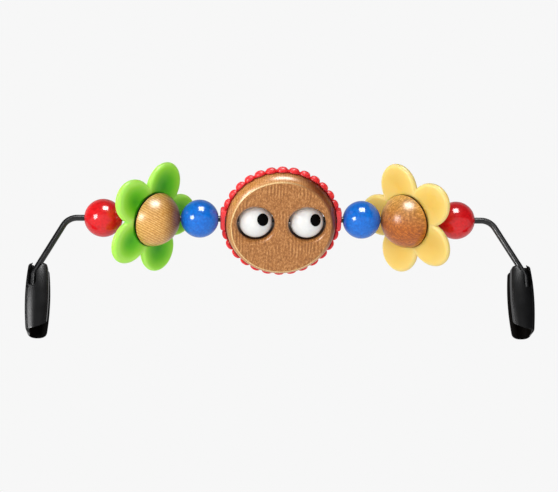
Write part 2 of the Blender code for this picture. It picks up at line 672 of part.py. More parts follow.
def build():
    for thing in list(bpy.data.objects):
        bpy.data.objects.remove(thing)
    parts = bpy.data.collections.new(PART_NAME)
    cutters = bpy.data.collections.new(PART_NAME + "_cutters")
    bpy.context.scene.collection.children.link(parts)
    bpy.context.scene.collection.children.link(cutters)

    steel = make_material("black_coated_steel", "2B2B2E", 0.35, 0.0)
    plastic = make_material("black_plastic", "1B1B1D", 0.4)
    red_paint = make_material("red_paint", "D22027", 0.2)
    blue_paint = make_material("blue_paint", "0F6DDA", 0.2)
    ball_wood = make_material("lacquered_beech", "D8A45F", 0.3)
    face_wood = make_material("lacquered_maple", "BC8352", 0.4)
    dowel_wood = make_material("dowel_beech", "DDBB88", 0.6)
    green_soft = make_material("green_soft_plastic", "6FBF2C", 0.35)
    yellow_soft = make_material("yellow_soft_plastic", "F8D76D", 0.35)
    red_soft = make_material("red_soft_plastic", "E8393D", 0.4)
    white = make_material("white_paint", "F8F8F6", 0.15)
    black = make_material("black_paint", "060606", 0.15)

    add_wire(parts, steel)
    for side_name, side in (("left", -1), ("right", 1)):
        add_clip(side_name, side, parts, cutters, plastic)
        add_bead("bead_red_" + side_name, side * RED_X, parts, red_paint)
        add_bead("bead_blue_" + side_name, side * BLUE_X, parts, blue_paint)
        add_eye(side_name, side, parts, cutters, white, black)
    add_flower("green", -1, parts, cutters, ball_wood, green_soft, dowel_wood)
    add_flower("yellow", 1, parts, cutters, ball_wood, yellow_soft, dowel_wood)
    add_face(parts, cutters, face_wood, red_soft, dowel_wood)


build()
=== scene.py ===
"""Bouncer toy bar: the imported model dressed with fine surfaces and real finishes.

Metres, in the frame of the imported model: X along the bar, Z up along the side tubes that the
clips grip, -Y towards the child.
"""

from math import acos, asin, atan2, cos, degrees, pi, radians, sin, sqrt, tan

import bmesh
import bpy
import numpy as np
from mathutils import Matrix, Vector


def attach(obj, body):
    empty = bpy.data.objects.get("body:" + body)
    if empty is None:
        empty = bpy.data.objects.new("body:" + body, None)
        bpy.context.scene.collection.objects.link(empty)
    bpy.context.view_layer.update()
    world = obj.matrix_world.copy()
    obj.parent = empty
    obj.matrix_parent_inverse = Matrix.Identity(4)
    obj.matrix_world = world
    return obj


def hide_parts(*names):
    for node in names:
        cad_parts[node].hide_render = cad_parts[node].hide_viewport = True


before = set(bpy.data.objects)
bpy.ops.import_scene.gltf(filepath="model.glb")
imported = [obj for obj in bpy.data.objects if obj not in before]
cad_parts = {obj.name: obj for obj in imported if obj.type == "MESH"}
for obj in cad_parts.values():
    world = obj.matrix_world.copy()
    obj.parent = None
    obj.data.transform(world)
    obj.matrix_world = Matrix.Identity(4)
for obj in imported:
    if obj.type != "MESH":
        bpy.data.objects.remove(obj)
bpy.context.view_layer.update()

MM = 0.001

# Sizes in metres and turns in degrees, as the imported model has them
WIRE_RADIUS = 2.4 * MM
BAR_Y, BAR_Z = -9.3 * MM, 66.4 * MM
BAR_HALF, WIRE_END_X, ARM_DROP = 166.7 * MM, 191.6 * MM, 46.5 * MM
WIRE_BENDS = (12.0 * MM, 7.0 * MM)
CLIP_X, CLIP_HALF = 188.0 * MM, 27.7 * MM
CLIP_MID_HALF, CLIP_END_HALF = 8.8 * MM, 7.0 * MM
CHANNEL_RADIUS, CLIP_FRONT, CLIP_BACK = 5.5 * MM, -13.1 * MM, 7.9 * MM
MOUTH_HALF = 4.2 * MM
SLOT_DEPTH, SOCKET_DEPTH = 19.0 * MM, 22.0 * MM
BEAD_RADIUS, BEAD_BORE = 15.0 * MM, 2.7 * MM
RED_X, BLUE_X, FLOWER_X, EYE_X = 139.2 * MM, 63.9 * MM, 101.0 * MM, 20.2 * MM
BALL_RADIUS, WEB_HALF, WEB_HOLE = 21.9 * MM, 1.5 * MM, 8.0 * MM
PETALS, PETAL_CENTRE, PETAL_LONG, PETAL_WIDE = 5, 26.9 * MM, 19.1 * MM, 17.0 * MM
PETAL_RIM, PETAL_DISH_FRONT, PETAL_DISH_BACK = 2.6 * MM, 0.9 * MM, 2.1 * MM
PETAL_PITCH = 2 * pi / PETALS
FLOWER_TURN = 45.0
FLOWER_SPIN = {"green": 42.6, "yellow": 41.6}
PETAL_PHASE = {"green": -8.0, "yellow": 185.0}
FACE_RADIUS, FACE_HALF, FACE_ROUND, FACE_OFFSET = 43.35 * MM, 11.0 * MM, 8.6 * MM, 2.2 * MM
FACE_SPIN, FACE_CREASE = 49.0, 58.0
RING_WEB_HALF, RING_INNER, BUMP_RADIUS = 1.2 * MM, 37.0 * MM, 4.3 * MM
BUMPS_PER_ARC, BUMP_POWER, BUMP_DEPTH_SHARE = 13, 2.3, 0.86
PAD_X, PAD_HALF_HEIGHT, PAD_HALF_THICK = 47.8 * MM, 8.6 * MM, 4.6 * MM
EYE_RADIUS, EYE_BORE, EYE_WINDOW, EYE_HANG = 13.6 * MM, 3.5 * MM, 14.8 * MM, 0.8 * MM
EYE_SPIN = 21.0
PUPIL_RADIUS = 4.9 * MM
RING_GROOVE, RING_LEAST_HALF = 0.9 * MM, 1.6 * MM
PUPIL_TURN = {"left": 25.0, "right": 29.5}
SEAM = 0.3 * MM

# Small forms that only the visual model has, as the photograph shows them
DOME_GROOVE = 1.0 * MM          # deeper groove between a dome and its petals
DOME_DARK = 1.8 * MM            # band beside it painted dark as the groove's shade
CREASE_RADIUS = 1.1 * MM        # where the disc's flat meets its rounded edge
WINDOW_LIP, WINDOW_DARK = 3.2 * MM, 6.4 * MM
CLIP_LEAN, CLIP_BELLY, CLIP_BOW = 1.8 * MM, 1.0 * MM, 2.4 * MM
CLIP_TOP_NOSE, CLIP_LOW_NOSE = 2.6 * MM, 4.4 * MM
SLOT_PLAY, SLOT_FLARE = 0.7 * MM, 1.2 * MM
LIP_FLARE, LIP_STRAIGHT_SHARE, LIP_POWER = 3.4 * MM, 0.15, 1.8
SCOOP_WIDE, SCOOP_HIGH, SCOOP_OUT = 4.4 * MM, 8.5 * MM, 2.6 * MM
SCOOP_INWARD, SCOOP_RISE = 1.0 * MM, 4 * MM
LEAD_IN_RISE, LEAD_IN_SLANT, LEAD_IN_BELOW = 5.5 * MM, 35, 0.3 * MM
LEAD_IN_SPAN_SHARES, LEAD_IN_MOST_SHARE, LEAD_IN_POWER = (0.62, -1.3), 1.3, 0.7

# A clip's section: panel, the bands beside it, the feet of its steps, and corner radii in turn
PANEL_PROUD, PANEL_STEP, PANEL_STEP_SHARE, PANEL_EDGE = 1.3 * MM, 2.0 * MM, 0.3, 0.9 * MM
MOUTH_FOOT, MOUTH_BACK = (0.7 * MM, 0.9 * MM), 1.3 * MM
FLANK_FOOT, FLANK_BACK = (0.35 * MM, 0.8 * MM), 1.6 * MM
MOUTH_CORNERS, PANEL_BEND = (0.5 * MM, 0.2 * MM, 0.45 * MM), 90 * MM
FLANK_CORNERS = (0.7 * MM, 0.3 * MM, 1.4 * MM, 3.2 * MM, 2.2 * MM)

# How far the cutting shapes run past a clip, and where its slot and lead-in end inside
OVERRUN, FRONT_OVERRUN, LOW_OVERRUN = 2 * MM, 3 * MM, 14 * MM
SLOT_END_Y, LEAD_IN_END_Y = 2 * MM, -1.0 * MM

# A band wave of scale 1 repeats every 0.314 m
WAVE_REPEAT = 0.314

# The photograph's camera, worked out from the beads, the arms and the clips
PHOTO_WIDTH = 558
CAMERA_DISTANCE, CAMERA_BELOW = 1.1, 0.0211
CAMERA_PITCH, CAMERA_YAW, CAMERA_ROLL = 20.9, 3.5, 0.9
METRES_PER_PIXEL = 0.000789
BAR_CENTRE_PIXEL = 281.3


# Places

def spindle(x, spin, hang=0.0):
    """Frame of a toy on the wire: its own X is the wire, and its -Y looks down by the spin."""
    return Matrix.Translation((x, BAR_Y, BAR_Z - hang)) @ Matrix.Rotation(radians(spin), 4, "X")


def facing(turn):
    """Turns a shape's own Z to the front (-Y), then towards +X by the degrees."""
    return Matrix.Rotation(radians(turn), 4, "Z") @ Matrix.Rotation(radians(90), 4, "X")


def along_wire():
    """Turns a shape's own Z to the wire's direction, +X."""
    return Matrix.Rotation(radians(90), 4, "Y")


# Surfaces

def add_piece(name, points, faces, material, place=None):
    """Closed mesh from an array of points and a list of face arrays, placed in its mesh."""
    points = np.asarray(points, dtype=np.float64).reshape(-1, 3)
    if place is not None:
        turn = np.array(place)
        points = points @ turn[:3, :3].T + turn[:3, 3]
    mesh = bpy.data.meshes.new(name)
    loops = np.concatenate([f.ravel() for f in faces]).astype(np.int32)
    totals = np.concatenate([np.full(len(f), f.shape[1]) for f in faces]).astype(np.int32)
    starts = np.concatenate([[0], np.cumsum(totals)[:-1]]).astype(np.int32)
    mesh.vertices.add(len(points))
    mesh.vertices.foreach_set("co", points.ravel())
    mesh.loops.add(len(loops))
    mesh.loops.foreach_set("vertex_index", loops)
    mesh.polygons.add(len(totals))
    mesh.polygons.foreach_set("loop_start", starts)
    mesh.polygons.foreach_set("loop_total", totals)
    mesh.update(calc_edges=True)
    mesh.validate()
    work = bmesh.new()
    work.from_mesh(mesh)
    bmesh.ops.recalc_face_normals(work, faces=work.faces)
    work.to_mesh(mesh)
    work.free()
    mesh.materials.append(material)
    mesh.shade_smooth()
    piece = bpy.data.objects.new(name, mesh)
    bpy.context.scene.collection.objects.link(piece)
    return piece


def quads(rows, columns, wrap_rows, wrap_columns):
    """Faces of a grid of points, row by row, that may close on itself either way."""
    r = np.arange(rows if wrap_rows else rows - 1)
    c = np.arange(columns if wrap_columns else columns - 1)
    r, c = [g.ravel() for g in np.meshgrid(r, c, indexing="ij")]
    r2, c2 = (r + 1) % rows, (c + 1) % columns
    return np.stack([r * columns + c, r2 * columns + c, r2 * columns + c2, r * columns + c2], 1)


def fan(centre, ring, outwards):
    """Triangles from one point to a ring of points."""
    after = np.roll(ring, -1)
    pair = (ring, after) if outwards else (after, ring)
    return np.stack([np.full(len(ring), centre), pair[0], pair[1]], 1)


def turned(profile, steps):
    """Grid of a profile of (radius, height) carried round Z: x = r cos a, y = r sin a, z = h."""
    profile = np.asarray(profile)
    angle = np.linspace(0, 2 * pi, steps, endpoint=False)
    r, h = profile[:, :1], profile[:, 1:]
    return np.stack([r * np.cos(angle), r * np.sin(angle), h + 0 * angle], axis=2)


def turned_ring(name, profile, steps, material, place):
    """Ring-shaped piece: a closed profile carried round Z."""
    grid = turned(profile, steps)
    rows, columns = grid.shape[:2]
    return add_piece(name, grid, [quads(rows, columns, True, True)], material, place)


def turned_solid(name, profile, steps, material, place):
    """Piece without a hole: a profile from its top pole to its bottom pole, round Z."""
    grid = turned(profile[1:-1], steps)
    rows, columns = grid.shape[:2]
    points = np.concatenate([grid.reshape(-1, 3), [[0, 0, profile[0][1]], [0, 0, profile[-1][1]]]])
    top, bottom = rows * columns, rows * columns + 1
    faces = [quads(rows, columns, False, True), fan(top, np.arange(columns), True),
             fan(bottom, np.arange(columns) + (rows - 1) * columns, False)]
    return add_piece(name, points, faces, material, place)


def arc(radius, start, end, count, centre=(0.0, 0.0)):
    """Points on an arc of a circle, from one angle to another in degrees."""
    a = np.radians(np.linspace(start, end, count))
    return np.stack([centre[0] + radius * np.cos(a), centre[1] + radius * np.sin(a)], axis=1)


def cut(piece, shape):
    """Takes a closed shape away from a piece for good, and leaves crisp edges sharp."""
    step = piece.modifiers.new("Cut", "BOOLEAN")
    step.operation, step.solver, step.object = "DIFFERENCE", "EXACT", shape
    evaluated = piece.evaluated_get(bpy.context.evaluated_depsgraph_get())
    mesh = bpy.data.meshes.new_from_object(evaluated)
    piece.modifiers.clear()
    old, piece.data = piece.data, mesh
    mesh.name = piece.name
    bpy.data.meshes.remove(old)
    bpy.data.objects.remove(shape)


def dark_inside(shape, faces=None):
    """Marks faces of a cutting shape, so that the surfaces they leave get the second material, a painted
    shade.
    """
    shape.data.materials.append(painted_shade_black)
    chosen = np.ones(len(shape.data.polygons)) if faces is None else faces
    shape.data.polygons.foreach_set("material_index", chosen.astype(np.int32))
    return shape


def keep_rim_share(piece, shares):
    """Keeps on each point how near the rim it lies, for the soft plastic's colour."""
    shade = piece.data.attributes.new("rim_share", "FLOAT", "POINT")
    shade.data.foreach_set("value", shares.ravel())


def crisp(piece, angle=30):
    """Smooth shading with sharp edges where faces meet at more than the angle."""
    piece.data.shade_smooth()
    piece.data.set_sharp_from_angle(angle=radians(angle))
    level = piece.modifiers.new("Normals", "WEIGHTED_NORMAL")
    level.weight, level.keep_sharp = 60, True


# Finishes

def linear(hex_colour):
    """Linear RGBA of an sRGB hex colour."""
    channels = [int(hex_colour[i:i + 2], 16) / 255 for i in (0, 2, 4)]
    return (*[c / 12.92 if c <= 0.04045 else ((c + 0.055) / 1.055) ** 2.4 for c in channels], 1.0)


def add_node(tree, kind, inputs=None, **settings):
    """One node with its settings, its input values and its links from other nodes' outputs."""
    node = tree.nodes.new(kind)
    for key, value in settings.items():
        setattr(node, key, value)
    for key, value in (inputs or {}).items():
        if isinstance(value, bpy.types.NodeSocket):
            tree.links.new(value, node.inputs[key])
        else:
            node.inputs[key].default_value = value
    return node


def new_material(name, **sockets):
    """Material with a Principled shader and constant values on its sockets."""
    material = bpy.data.materials.new(name)
    material.use_nodes = True
    tree = material.node_tree
    shader = tree.nodes["Principled BSDF"]
    for key, value in sockets.items():
        shader.inputs[key.replace("_", " ")].default_value = value
    place = add_node(tree, "ShaderNodeTexCoord").outputs["Object"]
    return material, tree, shader, place


def ramp(tree, factor, *stops):
    """Colour ramp through (position, hex colour) stops; returns its colour."""
    node = add_node(tree, "ShaderNodeValToRGB", {"Fac": factor})
    elements = node.color_ramp.elements
    while len(elements) < len(stops):
        elements.new(0.5)
    for element, (position, colour) in zip(elements, stops):
        element.position, element.color = position, linear(colour)
    return node.outputs["Color"]


def noise(tree, at, size, detail, **inputs):
    """Value of a noise whose features are about the size across, in metres."""
    node = add_node(tree, "ShaderNodeTexNoise", {"Vector": at, "Scale": 1 / size, "Detail": detail, **inputs})
    return node.outputs["Fac"]


def calc(tree, operation, *values):
    """Result of one operation on numbers or outputs."""
    return add_node(tree, "ShaderNodeMath", dict(enumerate(values)), operation=operation).outputs[0]


def dot(tree, vector, direction):
    """How far a place or a ray lies along a direction."""
    node = add_node(tree, "ShaderNodeVectorMath", {0: vector, 1: direction}, operation="DOT_PRODUCT")
    return node.outputs["Value"]


def remap(tree, value, start, end, low=0.0, high=1.0, **settings):
    """Carries a value from one range to another and holds it past the ends."""
    node = add_node(tree, "ShaderNodeMapRange", {"Value": value, "From Min": start, "From Max": end,
                                                 "To Min": low, "To Max": high}, **settings)
    return node.outputs[0]


def add_relief(tree, shader, height, strength, depth, sockets=("Normal",)):
    """Small bumps from a pattern on the shader's normals."""
    bump = add_node(tree, "ShaderNodeBump", {"Height": height, "Strength": strength, "Distance": depth})
    for socket in sockets:
        tree.links.new(bump.outputs["Normal"], shader.inputs[socket])


def gloss_paint(name, deep, light, coat=0.9, soak=0.0):
    """Glossy lacquer paint sprayed on a wooden ball: even colour, faint orange peel."""
    material, tree, shader, place = new_material(
        name, Roughness=0.5, Specular_IOR_Level=0.05, Coat_Weight=coat, Coat_Roughness=0.12,
        Coat_IOR=1.55, Subsurface_Weight=soak, Subsurface_Radius=(1.0, 0.9, 0.8),
        Subsurface_Scale=7 * MM)
    # mottling 2 mm wide, as the thin coat shows the wood's softer and harder spots
    mottle = noise(tree, place, 2 * MM, 3.0)
    tree.links.new(ramp(tree, mottle, (0.3, deep), (0.7, light)), shader.inputs["Base Color"])
    # orange peel about 1.2 mm across
    add_relief(tree, shader, noise(tree, place, 1.2 * MM, 2.0), 0.08, 0.1 * MM, ("Normal", "Coat Normal"))
    return material


def laid(along, across):
    """Rotation that lays the grain along one direction and stacks the rings across another."""
    along = Vector(along).normalized()
    across = Vector(across)
    across = (across - along * across.dot(along)).normalized()
    return Matrix((along, across, along.cross(across))).to_euler()


def lacquered_wood(name, grain, dark, middle, light, ring_mm, coat=1.0, speck_mm=2.0, rings_share=0.35,
                   patchy=False, painted_shade=None):
    """Turned hardwood under clear satin lacquer: growth rings, pores and short specks.

    The last argument is (direction, start, end, tint): painted shade, the wood darkens by the tint along the
    direction.
    """
    material, tree, shader, place = new_material(
        name, Roughness=0.5, Specular_IOR_Level=0.1, Coat_Weight=coat, Coat_Roughness=0.28, Coat_IOR=1.5)
    lie = add_node(tree, "ShaderNodeMapping", {"Vector": place, "Rotation": grain}).outputs["Vector"]
    # growth rings, ring_mm apart, gently wandering
    slow = add_node(tree, "ShaderNodeMapping", {"Vector": lie, "Scale": (0.25, 1.0, 1.0)}).outputs["Vector"]
    wander = add_node(tree, "ShaderNodeTexNoise", {"Vector": slow, "Scale": 1 / (14 * MM), "Detail": 2.0})
    shift = add_node(tree, "ShaderNodeVectorMath", {0: wander.outputs["Color"], "Scale": 3 * MM},
                     operation="SCALE")
    moved = add_node(tree, "ShaderNodeVectorMath", {0: slow, 1: shift.outputs["Vector"]}, operation="ADD")
    rings = add_node(tree, "ShaderNodeTexWave",
                     {"Vector": moved.outputs["Vector"], "Scale": WAVE_REPEAT / (ring_mm * MM),
                      "Distortion": 0.5, "Detail": 1.0, "Detail Scale": 1.5},
                     bands_direction="Y", wave_profile="SIN")
    # specks of pores and rays, a little longer along the grain
    short = add_node(tree, "ShaderNodeMapping", {"Vector": lie, "Scale": (0.6, 1.0, 1.0)}).outputs["Vector"]
    specks = noise(tree, short, speck_mm * MM, 3.0, Roughness=0.75)
    share = rings_share
    if patchy:
        # rings 18 mm patch by patch, and only specks between
        share = remap(tree, noise(tree, place, 18 * MM, 1.0), 0.48, 0.66, 0.0, rings_share)
    body = add_node(tree, "ShaderNodeMix", {"Factor": share, 2: specks, 3: rings.outputs["Fac"]})
    colour = ramp(tree, body.outputs[0], (0.3, dark), (0.5, middle), (0.7, light))
    # painted shade: the colour darkens by the tint along a direction
    if painted_shade:
        direction, start, end, tint = painted_shade
        deep = remap(tree, dot(tree, place, direction), start, end, interpolation_type="SMOOTHSTEP")
        tinted = add_node(tree, "ShaderNodeMix", {"Factor": deep, 6: colour, 7: linear(tint)},
                          data_type="RGBA", blend_type="MULTIPLY")
        colour = tinted.outputs[2]
    tree.links.new(colour, shader.inputs["Base Color"])
    add_relief(tree, shader, specks, 0.12, 0.1 * MM)
    return material


def soft_plastic(name, through, deep, middle, rim, edge, glow=None):
    """Soft moulded thermoplastic rubber: waxy sheen; its colour is painted lighter towards the rim and darker
    in the middle, as painted light and shade.

    through says how far red, green and blue light run inside it, so that thin petals glow.
    glow is (direction, start, end, share): painted light, the colour grows lighter along the direction.
    """
    material, tree, shader, place = new_material(
        name, Roughness=0.42, Specular_IOR_Level=0.35, Coat_Weight=0.08, Coat_Roughness=0.22,
        Subsurface_Weight=0.7, Subsurface_Radius=through, Subsurface_Scale=5 * MM)
    # painted light and shade: lighter towards the rim, darker in the middle
    share = add_node(tree, "ShaderNodeAttribute", attribute_name="rim_share").outputs["Fac"]
    # cloudy colour 9 mm wide from the melt's flow
    drift = calc(tree, "MULTIPLY_ADD", noise(tree, place, 9 * MM, 2.0), 0.1, -0.05)
    total = calc(tree, "ADD", share, drift)
    if glow:
        direction, start, end, amount = glow
        more = remap(tree, dot(tree, place, direction), start, end, 0.0, amount)
        total = calc(tree, "ADD", total, more)
    tree.links.new(ramp(tree, total, (0.05, deep), (0.45, middle), (0.8, rim), (0.97, edge)),
                   shader.inputs["Base Color"])
    # spark-eroded mould texture, drawn 0.5 mm coarse so that it shows
    add_relief(tree, shader, noise(tree, place, 0.5 * MM, 2.0), 0.05, 0.1 * MM)
    return material


def moulded_black(name, colour, worn, roughness, grit_mm, shine=0.5):
    """Black moulded or powder-coated surface with a fine even grit and slightly rubbed spots."""
    material, tree, shader, place = new_material(name, Specular_IOR_Level=shine)
    cloud = noise(tree, place, 8 * MM, 3.0)
    tree.links.new(ramp(tree, cloud, (0.35, colour), (0.75, worn)), shader.inputs["Base Color"])
    tree.links.new(remap(tree, cloud, 0.3, 0.7, roughness - 0.02, roughness + 0.02),
                   shader.inputs["Roughness"])
    add_relief(tree, shader, noise(tree, place, grit_mm * MM, 2.0), 0.08, 0.05 * MM)
    return material


red_paint = gloss_paint("red_gloss_lacquer_on_beech", "CE0A12", "E6161E")
blue_paint = gloss_paint("blue_gloss_lacquer_on_beech", "0060C4", "0878E0")
white_paint = gloss_paint("white_gloss_lacquer_on_beech", "E6E6E4", "EAEAE8", coat=0.3, soak=1.0)
pupil_paint = moulded_black("black_satin_inlay", "010101", "030303", 0.6, 0.4, 0.05)
# painted shade: darker towards the right side of the green dome
light_beech = lacquered_wood("light_beech_clear_lacquer",
                             laid((0.875, 0.125, -0.467), (0.480, -0.339, 0.809)),
                             "B87830", "D89C48", "F4CC80", 1.7, speck_mm=1.2, rings_share=0.2,
                             painted_shade=((1.0, 0.0, 0.0), -94 * MM, -82 * MM, "9C8468"))
# painted shade: darker and more orange towards the lower left of the yellow dome
amber_beech = lacquered_wood("amber_beech_clear_lacquer", laid((0.9, 0.3, 0.3), (0.0, 1.0, 0.3)),
                             "946020", "CC9640", "FCCC7C", 1.6, speck_mm=1.8, rings_share=0.04,
                             painted_shade=((-0.2, 0.3, -0.93), -104 * MM, -72 * MM, "DC9C4C"))
face_beech = lacquered_wood("brown_beech_clear_lacquer",
                            laid((0.0, -sin(radians(FACE_SPIN)), cos(radians(FACE_SPIN))), (1.0, 0.0, 0.0)),
                            "7A4816", "AC6C2E", "D89E60", 2.6, speck_mm=1.2, rings_share=0.22, patchy=True)
# partly painted light: the rounded edge is lighter than the flat; painted shade darkens it towards the upper
# right
bevel_beech = lacquered_wood("golden_beech_clear_lacquer", laid((0.0, 0.3, 1.0), (1.0, 0.0, 0.0)),
                             "A4641C", "CC8844", "E8B070", 1.8, speck_mm=1.1, rings_share=0.1,
                             painted_shade=((0.86, 0.0, 0.5), 48 * MM, 64 * MM, "94684A"))
# painted highlight: a pale line along the disc's crease, darker towards the upper right as painted shade
crease_highlight_beech = lacquered_wood("beech_painted_light_as_crease_highlight", laid((0.0, 0.3, 1.0), (1.0, 0.0, 0.0)),
                              "D0A060", "E8C080", "FCE0AC", 1.8, speck_mm=1.1, rings_share=0.1,
                              painted_shade=((0.86, 0.0, 0.5), 36 * MM, 60 * MM, "A07850"))
dowel_beech = lacquered_wood("bare_beech_dowel", laid((0, 1, 0), (0, 0, 1)),
                             "C9A06A", "DDBB88", "E8CDA0", 1.5, coat=0.0)
# painted light: the green petals grow lighter towards the left
green_rubber = soft_plastic("green_thermoplastic_rubber", (0.7, 1.0, 0.2),
                            "3CA604", "60C410", "94DE36", "B4EC60",
                            glow=((-1.0, 0.0, 0.0), 98 * MM, 132 * MM, 0.26))
yellow_rubber = soft_plastic("yellow_thermoplastic_rubber", (1.0, 0.7, 0.3),
                             "E6C05A", "E8C662", "EACC70", "ECD486")
red_rubber = soft_plastic("red_thermoplastic_rubber", (1.0, 0.2, 0.2),
                          "B01216", "DC1C20", "F02A2E", "FF4044")
wire_coat = moulded_black("black_powder_coated_steel", "0C0C0E", "121214", 0.32, 0.3, 0.6)
# painted shade: near black, put where deep shade falls at the domes' feet and inside the clips' cuts
painted_shade_black = moulded_black("black_painted_shade_in_joints_and_cuts", "040302", "0A0604", 0.7, 0.4, 0.05)
# painted shade: dark brown for the windows' lower walls
window_shade_beech = lacquered_wood("beech_painted_dark_as_shade_in_windows", laid((0.0, 1.0, 0.0), (1.0, 0.0, 0.0)),
                              "2C1406", "3C1E0C", "542E14", 1.8, coat=0.2)
clip_abs = moulded_black("black_moulded_abs", "050506", "070709", 0.3, 0.4, 0.38)


# Beads and eyes

def bored_ball(radius, bore, ease):
    """Closed profile of a bored ball: sphere, rounded bore mouths and bore wall.

    Each mouth's rounding is an arc that touches the sphere inside and the bore wall.
    """
    height = sqrt((radius - ease) ** 2 - (bore + ease) ** 2)
    lift = degrees(atan2(height, bore + ease))
    mouth = arc(ease, 180, lift, 8, (bore + ease, height))
    outside = arc(radius, lift, -lift, 90)
    low = arc(ease, -lift, -180, 8, (bore + ease, -height))
    wall = np.stack([np.full(6, bore), np.linspace(-height, height, 8)[1:-1]], axis=1)
    return np.concatenate([mouth, outside[1:-1], low, wall])


def bead(name, x, material):
    """Painted round bead on the wire."""
    piece = turned_ring(name + "_turned", bored_ball(BEAD_RADIUS, BEAD_BORE, 0.8 * MM), 128, material,
                        Matrix.Translation((x, BAR_Y, BAR_Z)) @ along_wire())
    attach(piece, name)
    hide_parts(name)


def eye(side_name, side):
    """White ball on the wire and a black pupil: a thin cap that lies on the ball."""
    at = spindle(side * EYE_X, EYE_SPIN, EYE_HANG)
    ball = turned_ring("eye_%s_white" % side_name, bored_ball(EYE_RADIUS, EYE_BORE, 0.3 * MM), 128,
                       white_paint, at @ along_wire())
    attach(ball, "eye_" + side_name)
    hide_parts("eye_%s_ball" % side_name)
    proud = EYE_RADIUS + 0.05 * MM
    edge = degrees(acos(PUPIL_RADIUS / proud))
    cap = arc(proud, 90, edge, 24)
    cap[0, 0] = 0
    base = cap[-1, 1] - 1.0 * MM
    profile = np.concatenate([cap, [[PUPIL_RADIUS - 0.02 * MM, base], [0, base]]])
    pupil = turned_solid("pupil_%s_cap" % side_name, profile, 64, pupil_paint,
                         at @ facing(PUPIL_TURN[side_name]))
    crisp(pupil, 50)
    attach(pupil, "eye_" + side_name)
    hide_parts("pupil_" + side_name)


# Flowers

def half_ball(name, place, bore, material):
    """Half ball with a softened seam edge, cut through by the wire's bore."""
    ease = 0.5 * MM
    seat = WEB_HALF + SEAM + DOME_GROOVE
    centre = sqrt((BALL_RADIUS - ease) ** 2 - (seat + ease) ** 2)
    lift = degrees(atan2(seat + ease, centre))
    dome = arc(BALL_RADIUS, 90, lift, 60)
    dome[0, 0] = 0
    edge = arc(ease, lift, -90, 8, (centre, seat + ease))
    boss = WEB_HOLE - SEAM
    inner = [[boss, seat], [boss, SEAM / 2], [0, SEAM / 2]]
    piece = turned_solid(name, np.concatenate([dome, edge[1:], inner]), 144, material, None)
    # painted shade: a black band at the foot of the dome stands for the shadow in the groove
    piece.data.materials.append(painted_shade_black)
    middles = np.empty(len(piece.data.polygons) * 3)
    piece.data.polygons.foreach_get("center", middles)
    x, y, z = middles.reshape(-1, 3).T
    low = (z < seat + DOME_DARK) & (np.hypot(x, y) > 0.8 * BALL_RADIUS)
    piece.data.polygons.foreach_set("material_index", low.astype(np.int32))
    piece.data.transform(place)
    cut(piece, bore())
    crisp(piece)
    return piece


def from_petal_middle(angle):
    """Angle from the middle of the nearest petal."""
    return (angle + PETAL_PITCH / 2) % PETAL_PITCH - PETAL_PITCH / 2


def petal_shares(radius, angle):
    """How far points lie out in their petal: 0 at its middle, 1 on its edge.

    Each petal is an ellipse; neighbours are joined by a smooth minimum, so that the dished
    middles run into each other without a crease.
    """
    local = from_petal_middle(angle)
    shares = [np.hypot((radius * np.cos(local + k * PETAL_PITCH) - PETAL_CENTRE) / PETAL_LONG,
                       radius * np.sin(local + k * PETAL_PITCH) / PETAL_WIDE) for k in (-1, 0, 1)]
    soft = 0.045
    return -soft * np.log(sum(np.exp(-s / soft) for s in shares))


def petal_reach(angle):
    """Outline radius: the far crossing of a ray with its petal's ellipse."""
    local = from_petal_middle(angle)
    a = (np.cos(local) / PETAL_LONG) ** 2 + (np.sin(local) / PETAL_WIDE) ** 2
    b = -2 * np.cos(local) * PETAL_CENTRE / PETAL_LONG ** 2
    c = (PETAL_CENTRE / PETAL_LONG) ** 2 - 1
    return (-b + np.sqrt(np.maximum(b * b - 4 * a * c, 0))) / (2 * a)


def petal_half_thickness(share, dish):
    """Dished middle that rises in a cosine to the rim's crest, then a quarter ellipse."""
    crest = 1 - PETAL_RIM / PETAL_WIDE
    inside = dish + (PETAL_RIM - dish) * (1 - np.cos(pi * np.minimum(share / crest, 1))) / 2
    over = np.clip((share - crest) / (1 - crest), 0, 1)
    return np.where(share < crest, inside, PETAL_RIM * np.sqrt(1 - over ** 2))


def petal_ring(name, phase, place, material):
    """The moulding on a polar grid: web, step at the ball, dished petals, rim and back."""
    sections, across = 60 * PETALS, 36
    angle = np.arange(sections)[:, None] * 2 * pi / sections
    reach = petal_reach(angle)
    step = BALL_RADIUS + SEAM
    # points lie closer together towards the rim, where the surface turns
    u = np.sin(pi / 2 * np.linspace(0, 1, across))[None, :]
    radius = step + (reach - step) * u
    share = petal_shares(radius, angle)
    share = share / share[:, -1:] * np.minimum(share[:, -1:] + (1 - share[:, -1:]) * u ** 6, 1)
    front = petal_half_thickness(share, PETAL_DISH_FRONT)
    back = -petal_half_thickness(share, PETAL_DISH_BACK)
    front[:, -1], back[:, -1] = 0, 0
    foot = step - 0.2 * MM
    web = np.array([[WEB_HOLE, -WEB_HALF], [WEB_HOLE, WEB_HALF], [foot, WEB_HALF]])
    flat = np.ones((sections, 1))
    r = np.concatenate([flat * web[:, 0], radius, radius[:, -2::-1], flat * foot], axis=1)
    z = np.concatenate([flat * web[:, 1], front, back[:, -2::-1], flat * -WEB_HALF], axis=1)
    s = np.concatenate([flat * [0, 0, 0], share, share[:, -2::-1], flat * 0], axis=1)
    a = angle + radians(phase)
    points = np.stack([r * np.cos(a), r * np.sin(a), z], axis=2)
    piece = add_piece(name, points, [quads(sections, r.shape[1], True, True)], material, place)
    keep_rim_share(piece, s)
    crisp(piece, 50)
    return piece


def bore_shape(place, radius, half):
    """Closed cylinder along the wire that cuts a bore."""
    profile = [[0, half], [radius, half], [radius, -half], [0, -half]]
    return turned_solid("bore", np.array(profile), 48, dowel_beech, place @ along_wire())


